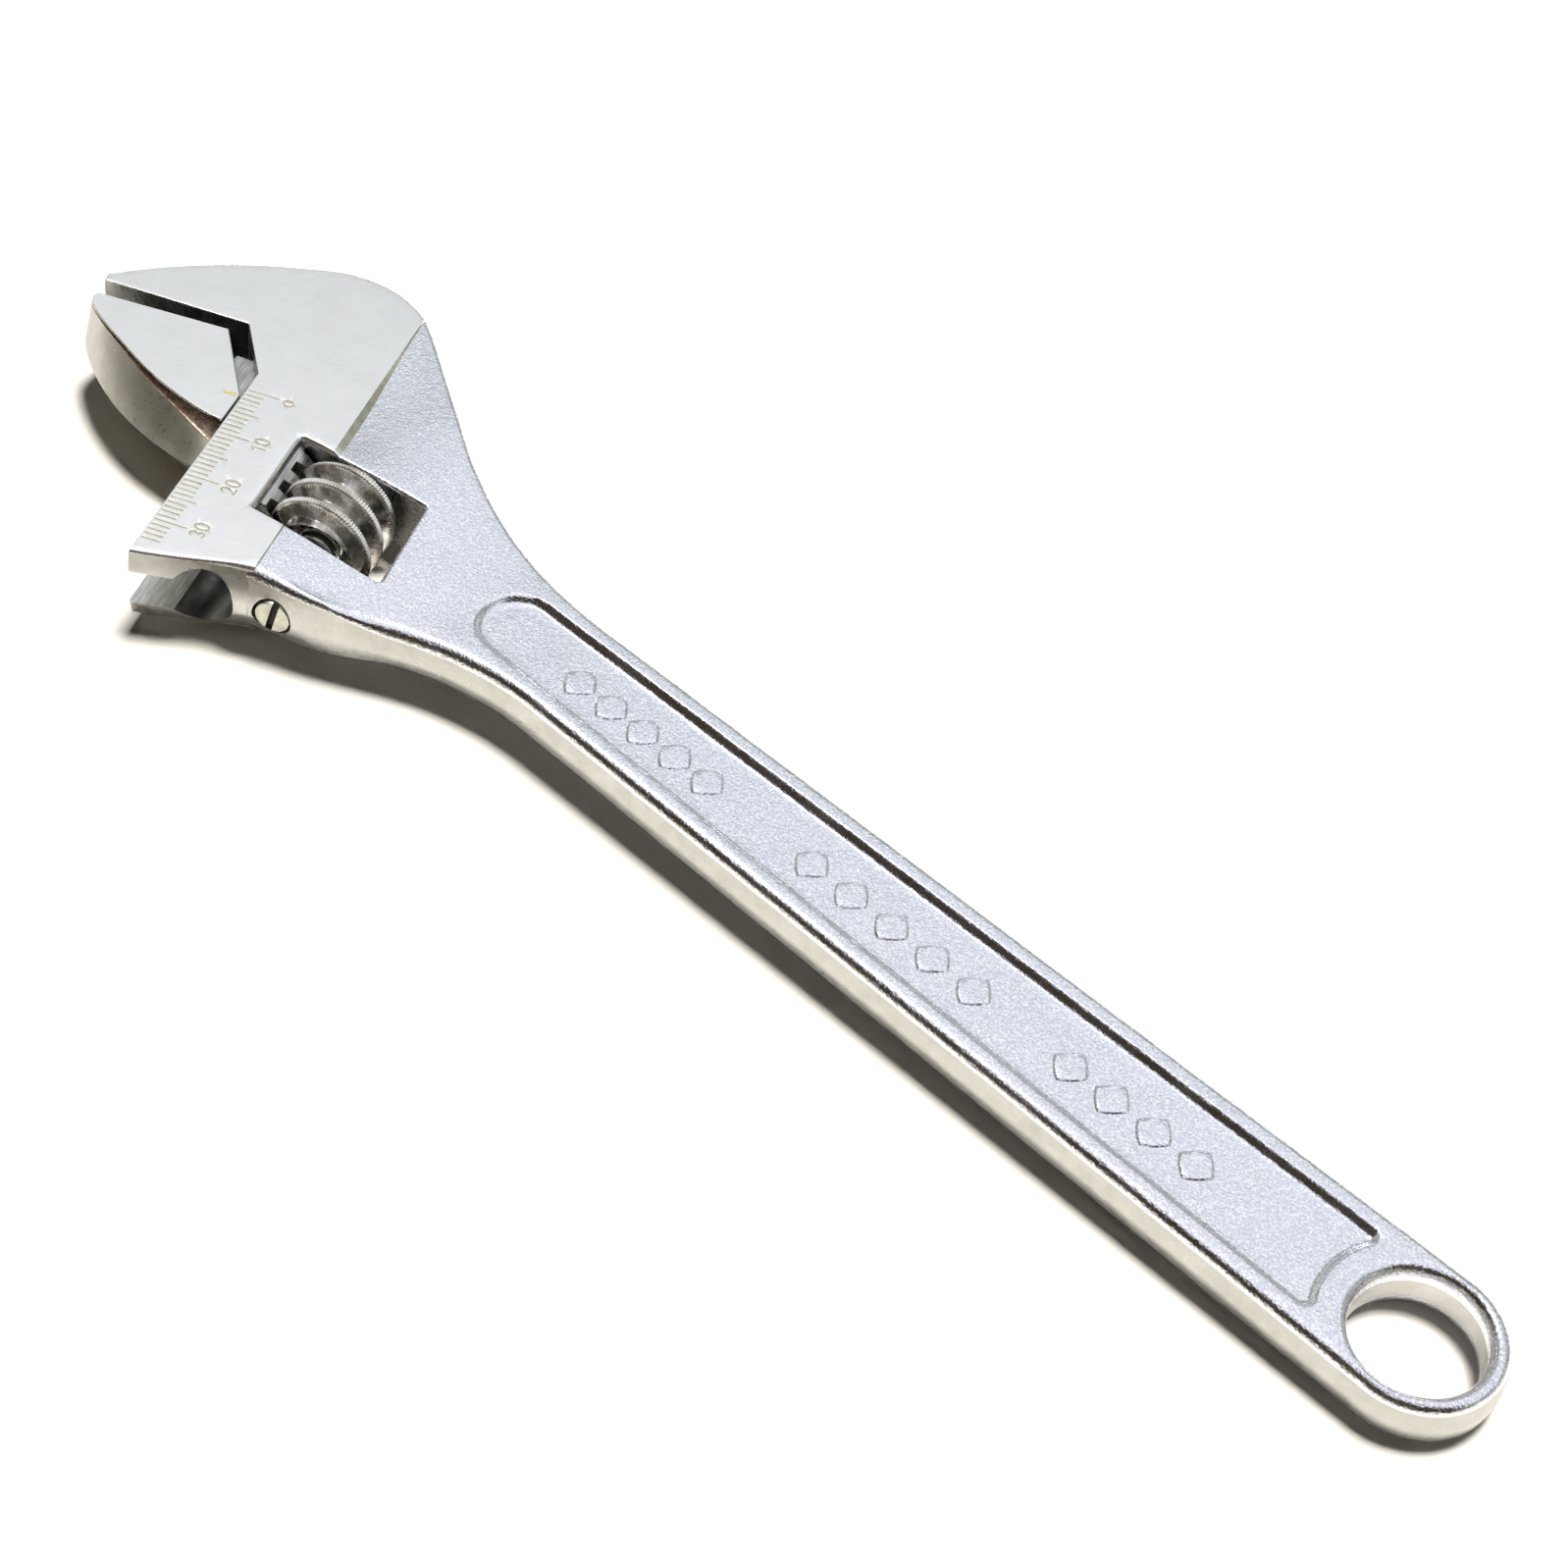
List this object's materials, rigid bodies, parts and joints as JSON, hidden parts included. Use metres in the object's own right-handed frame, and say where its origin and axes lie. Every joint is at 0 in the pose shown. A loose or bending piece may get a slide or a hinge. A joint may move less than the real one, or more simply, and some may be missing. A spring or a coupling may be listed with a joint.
{
  "type": "adjustable wrench",
  "caption": "Chrome-plated adjustable wrench: forged body with angled fixed jaw, sliding toothed jaw, knurled worm on a slotted pin, recessed handle and hanging hole.",
  "frame": {"origin": "centre of the hanging hole, on the wrench's mid-plane", "axes": "+X along the handle towards the head, +Y towards the side on which the moving jaw comes out, +Z through the thickness"},
  "size_m": [0.2559, 0.0667, 0.016],
  "materials": {
    "forged_chrome": "satin chrome over a sand-textured forging, with a smoother machined head",
    "jaw_chrome": "lightly brushed satin chrome",
    "worm_chrome": "bright turned chrome with a knurled rim",
    "pin_steel": "dull turned steel",
    "spring_steel": "plain spring wire"
  },
  "bodies": {
    "handle": {"body": "forged_chrome", "worm_pin": "pin_steel", "worm_spring": "spring_steel"},
    "jaw": {"movable_jaw": "jaw_chrome"},
    "knurl": {"worm": "worm_chrome"}
  },
  "joints": [
    {"name": "jaw_slide", "type": "slide", "parent": "handle", "child": "jaw", "axis": [-0.4226, 0.9063, 0], "range_m": [-0.0022, 0.0277]},
    {"name": "worm_spin", "type": "hinge", "parent": "handle", "child": "knurl", "pos_m": [0.18644, 0.00432, 0], "axis": [-0.4226, 0.9063, 0], "range_deg": [-190, 2325]}
  ],
  "couplings": [
    {"joint": "worm_spin", "follows": "jaw_slide", "rad_per_m": 1461.2}
  ]
}
